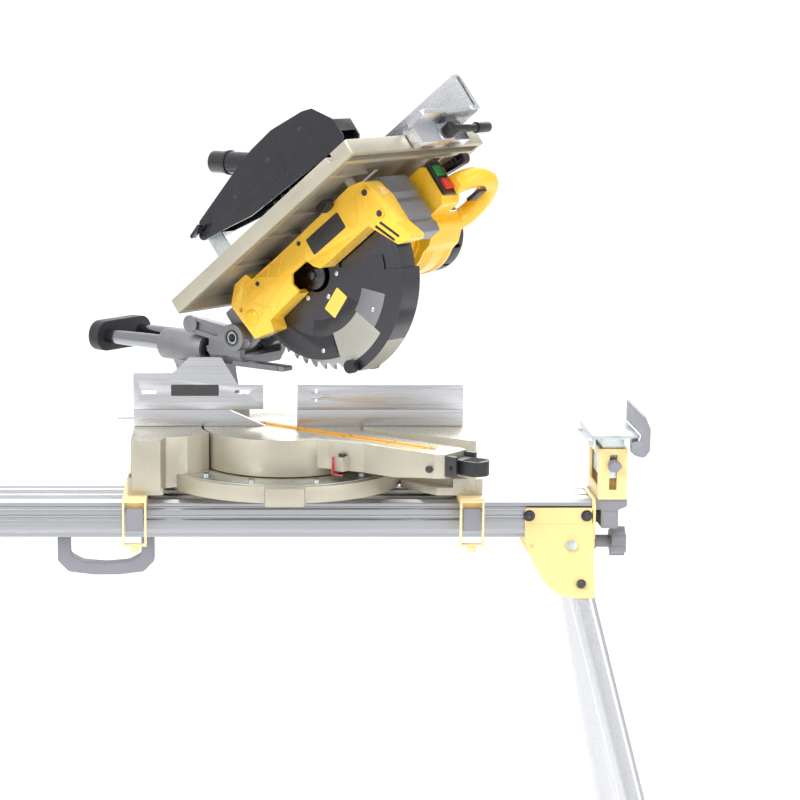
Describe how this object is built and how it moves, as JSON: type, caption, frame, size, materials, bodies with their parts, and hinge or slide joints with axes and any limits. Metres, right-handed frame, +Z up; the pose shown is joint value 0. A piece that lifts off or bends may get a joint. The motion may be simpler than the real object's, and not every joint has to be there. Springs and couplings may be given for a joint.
{
  "type": "mitre saw on stand",
  "caption": "Sliding compound mitre saw with a bench table on its tilting head, bolted to a folding beam stand with extending work supports.",
  "frame": {"origin": "on the floor under the centre of the stand's footprint", "axes": "+X along the beam to the operator's right, +Y to the back, +Z up"},
  "size_m": [1.8464, 0.7106, 1.4699],
  "materials": {
    "beam_aluminium": "brushed anodised",
    "stand_yellow": "satin powder coat",
    "stand_grey_plastic": "moulded",
    "leg_aluminium": "satin anodised",
    "zinc_steel": "zinc plated",
    "bolt_black": "black oxide",
    "champagne_casting": "cast, metallic paint, machined top",
    "bare_aluminium": "extruded, polished",
    "grey_casting": "shot-blasted casting",
    "black_plastic": "fine moulded texture",
    "gloss_black": "glossy",
    "saw_yellow": "gloss moulded",
    "kerf_yellow": "satin",
    "dark_steel": "dark plated",
    "blade_steel": "ground, carbide tips",
    "chrome_steel": "hard chromed tube",
    "belt_rubber": "toothed belt",
    "button_green": "gloss",
    "button_red": "gloss",
    "pointer_red": "gloss",
    "copper_rotor": "wound copper"
  },
  "bodies": {
    "stand_frame": {"main_beam": "beam_aluminium", "leg_bracket_right": "stand_yellow", "leg_bracket_left": "stand_yellow", "bracket_bolts": "bolt_black", "carry_handle": "stand_grey_plastic"},
    "leg_front_right": {"leg_front_right": "leg_aluminium"},
    "leg_rear_right": {"leg_rear_right": "leg_aluminium"},
    "extension_right": {"extension_arm_right": "stand_grey_plastic", "support_post_right": "stand_yellow"},
    "support_right": {"support_plate_right": "zinc_steel"},
    "swing_stop_right": {"swing_stop_right": "stand_grey_plastic"},
    "arm_lock_knob_right": {"arm_lock_knob_right": "stand_grey_plastic"},
    "height_knob_right": {"height_knob_right": "stand_grey_plastic"},
    "leg_front_left": {"leg_front_left": "leg_aluminium"},
    "leg_rear_left": {"leg_rear_left": "leg_aluminium"},
    "extension_left": {"extension_arm_left": "stand_grey_plastic", "support_post_left": "stand_yellow"},
    "support_left": {"support_plate_left": "zinc_steel"},
    "swing_stop_left": {"swing_stop_left": "stand_grey_plastic"},
    "arm_lock_knob_left": {"arm_lock_knob_left": "stand_grey_plastic"},
    "height_knob_left": {"height_knob_left": "stand_grey_plastic"},
    "saw_base": {"saw_brackets": "stand_yellow", "base_casting": "champagne_casting", "mitre_scale": "zinc_steel", "fixed_fence": "bare_aluminium"},
    "bracket_lever_left": {"bracket_lever_left": "stand_grey_plastic"},
    "bracket_lever_right": {"bracket_lever_right": "stand_grey_plastic"},
    "left_fence": {"left_sliding_fence": "bare_aluminium"},
    "right_fence": {"right_sliding_fence": "bare_aluminium"},
    "turntable": {"turntable": "champagne_casting", "kerf_plates": "kerf_yellow", "turntable_fittings": "pointer_red"},
    "mitre_handle": {"mitre_handle": "black_plastic"},
    "bevel": {"bevel_housing": "grey_casting"},
    "bevel_lever": {"bevel_lever": "black_plastic"},
    "carriage": {"slide_rails": "chrome_steel", "head_yoke": "grey_casting", "head_pivot_pin": "zinc_steel"},
    "head": {"arm_cover": "saw_yellow", "gear_case": "grey_casting", "upper_guard": "dark_steel", "motor_housing": "saw_yellow", "motor_end_cap": "black_plastic", "drive_belt": "belt_rubber", "front_handle": "saw_yellow", "switch_plate": "black_plastic", "riving_knife": "zinc_steel"},
    "blade": {"saw_blade": "blade_steel", "arbor": "dark_steel"},
    "rotor": {"motor_rotor": "copper_rotor"},
    "lower_guard": {"lower_guard": "dark_steel"},
    "start_button": {"start_button": "button_green"},
    "stop_button": {"stop_button": "button_red"},
    "guard_lever": {"guard_release_lever": "black_plastic"},
    "bench": {"bench_table": "champagne_casting", "push_stick": "black_plastic"},
    "table_knob": {"table_lock_knob": "black_plastic"},
    "top_guard": {"top_guard": "gloss_black"},
    "rip_fence": {"rip_fence": "bare_aluminium"},
    "fence_lever": {"fence_clamp_lever": "black_plastic"}
  },
  "joints": [
    {"name": "leg_front_right_fold", "type": "hinge", "parent": "stand_frame", "child": "leg_front_right", "pos_m": [0.729, -0.054, 0.736], "axis": [0, 0.9336, -0.3584], "range_deg": [0, 100]},
    {"name": "leg_rear_right_fold", "type": "hinge", "parent": "stand_frame", "child": "leg_rear_right", "pos_m": [0.729, 0.054, 0.736], "axis": [0, 0.9336, 0.3584], "range_deg": [0, 100]},
    {"name": "extension_right_slide", "type": "slide", "parent": "stand_frame", "child": "extension_right", "axis": [1, 0, 0], "range_m": [0, 1.1]},
    {"name": "support_right_height", "type": "slide", "parent": "extension_right", "child": "support_right", "axis": [0, 0, 1], "range_m": [-0.015, 0.01]},
    {"name": "swing_stop_right_flip", "type": "hinge", "parent": "support_right", "child": "swing_stop_right", "pos_m": [0.8235, -0.073, 0.899], "axis": [0, 1, 0], "range_deg": [0, 75]},
    {"name": "arm_lock_knob_right_turn", "type": "hinge", "parent": "stand_frame", "child": "arm_lock_knob_right", "pos_m": [0.79, 0, 0.734], "axis": [1, 0, 0], "range_deg": [0, 360]},
    {"name": "height_knob_right_turn", "type": "hinge", "parent": "support_right", "child": "height_knob_right", "pos_m": [0.794, -0.062, 0.868], "axis": [0, 1, 0], "range_deg": [0, 180]},
    {"name": "leg_front_left_fold", "type": "hinge", "parent": "stand_frame", "child": "leg_front_left", "pos_m": [-0.729, -0.054, 0.736], "axis": [0, 0.9336, -0.3584], "range_deg": [-95, 0]},
    {"name": "leg_rear_left_fold", "type": "hinge", "parent": "stand_frame", "child": "leg_rear_left", "pos_m": [-0.729, 0.054, 0.736], "axis": [0, 0.9336, 0.3584], "range_deg": [-95, 0]},
    {"name": "extension_left_slide", "type": "slide", "parent": "stand_frame", "child": "extension_left", "axis": [-1, 0, 0], "range_m": [0, 1.1]},
    {"name": "support_left_height", "type": "slide", "parent": "extension_left", "child": "support_left", "axis": [0, 0, 1], "range_m": [-0.015, 0.01]},
    {"name": "swing_stop_left_flip", "type": "hinge", "parent": "support_left", "child": "swing_stop_left", "pos_m": [-0.8235, 0.073, 0.899], "axis": [0, -1, 0], "range_deg": [0, 75]},
    {"name": "arm_lock_knob_left_turn", "type": "hinge", "parent": "stand_frame", "child": "arm_lock_knob_left", "pos_m": [-0.79, 0, 0.734], "axis": [-1, 0, 0], "range_deg": [0, 360]},
    {"name": "height_knob_left_turn", "type": "hinge", "parent": "support_left", "child": "height_knob_left", "pos_m": [-0.794, 0.062, 0.868], "axis": [0, -1, 0], "range_deg": [0, 180]},
    {"name": "saw_along_beam", "type": "slide", "parent": "stand_frame", "child": "saw_base", "axis": [1, 0, 0], "range_m": [-0.45, 0.05]},
    {"name": "bracket_lever_left_clamp", "type": "hinge", "parent": "saw_base", "child": "bracket_lever_left", "pos_m": [0.0495, -0.101, 0.806], "axis": [1, 0, 0], "range_deg": [-60, 0]},
    {"name": "bracket_lever_right_clamp", "type": "hinge", "parent": "saw_base", "child": "bracket_lever_right", "pos_m": [0.57, -0.101, 0.806], "axis": [1, 0, 0], "range_deg": [-60, 0]},
    {"name": "left_fence_slide", "type": "slide", "parent": "saw_base", "child": "left_fence", "axis": [1, 0, 0], "range_m": [-0.063, 0]},
    {"name": "right_fence_slide", "type": "slide", "parent": "saw_base", "child": "right_fence", "axis": [1, 0, 0], "range_m": [0, 0.08]},
    {"name": "mitre_turn", "type": "hinge", "parent": "saw_base", "child": "turntable", "pos_m": [0.28, 0.04, 0.912], "axis": [0, 0, 1], "range_deg": [-88, 0]},
    {"name": "mitre_handle_lift", "type": "hinge", "parent": "turntable", "child": "mitre_handle", "pos_m": [0.54505, -0.18241, 0.893], "axis": [0.6428, 0.766, 0], "range_deg": [-25, 0]},
    {"name": "bevel_tilt", "type": "hinge", "parent": "turntable", "child": "bevel", "pos_m": [0.28, 0.04, 0.912], "axis": [0.766, -0.6428, 0], "range_deg": [0, 13]},
    {"name": "bevel_lever_turn", "type": "hinge", "parent": "turntable", "child": "bevel_lever", "pos_m": [0.12756, 0.16792, 0.912], "axis": [0.766, -0.6428, 0], "range_deg": [0, 40]},
    {"name": "head_slide", "type": "slide", "parent": "bevel", "child": "carriage", "axis": [0.766, -0.6428, 0], "range_m": [-0.012, 0.115]},
    {"name": "head_tilt", "type": "hinge", "parent": "carriage", "child": "head", "pos_m": [0.24323, 0.07085, 1.057], "axis": [0.6428, 0.766, 0], "range_deg": [0, 36.5]},
    {"name": "blade_spin", "type": "hinge", "parent": "head", "child": "blade", "pos_m": [0.34687, -0.01611, 1.16321], "axis": [0.6428, 0.766, 0], "continuous": true},
    {"name": "rotor_spin", "type": "hinge", "parent": "head", "child": "rotor", "pos_m": [0.47235, 0.00914, 1.22011], "axis": [0.6428, 0.766, 0], "continuous": true},
    {"name": "lower_guard_swing", "type": "hinge", "parent": "head", "child": "lower_guard", "pos_m": [0.34687, -0.01611, 1.16321], "axis": [0.6428, 0.766, 0], "range_deg": [-42, 0]},
    {"name": "start_button_press", "type": "slide", "parent": "head", "child": "start_button", "axis": [-0.6053, 0.5079, -0.6129], "range_m": [0, 0.003], "stiffness_N_per_m": 400},
    {"name": "stop_button_press", "type": "slide", "parent": "head", "child": "stop_button", "axis": [-0.6053, 0.5079, -0.6129], "range_m": [0, 0.003], "stiffness_N_per_m": 400},
    {"name": "guard_lever_press", "type": "slide", "parent": "head", "child": "guard_lever", "axis": [-0.4695, 0.394, 0.7902], "range_m": [0, 0.004], "stiffness_N_per_m": 400},
    {"name": "bench_height", "type": "slide", "parent": "head", "child": "bench", "axis": [-0.4695, 0.394, 0.7902], "range_m": [0, 0.045]},
    {"name": "table_knob_turn", "type": "hinge", "parent": "head", "child": "table_knob", "pos_m": [0.34642, -0.10189, 1.27531], "axis": [0.6428, 0.766, 0], "range_deg": [0, 90]},
    {"name": "top_guard_lift", "type": "hinge", "parent": "head", "child": "top_guard", "pos_m": [0.16525, 0.13629, 1.21597], "axis": [0.6428, 0.766, 0], "range_deg": [-50, 0]},
    {"name": "rip_fence_slide", "type": "slide", "parent": "bench", "child": "rip_fence", "axis": [0.6428, 0.766, 0], "range_m": [-0.07, 0.05]},
    {"name": "fence_lever_turn", "type": "hinge", "parent": "rip_fence", "child": "fence_lever", "pos_m": [0.5279, -0.08969, 1.38846], "axis": [0.6053, -0.5079, 0.6129], "range_deg": [-60, 0]}
  ],
  "couplings": [
    {"joint": "lower_guard_swing", "follows": "head_tilt", "ratio": -1.1},
    {"joint": "left_fence_slide", "follows": "bevel_tilt", "m_per_rad": -0.2368},
    {"joint": "rotor_spin", "follows": "blade_spin", "ratio": 2}
  ]
}
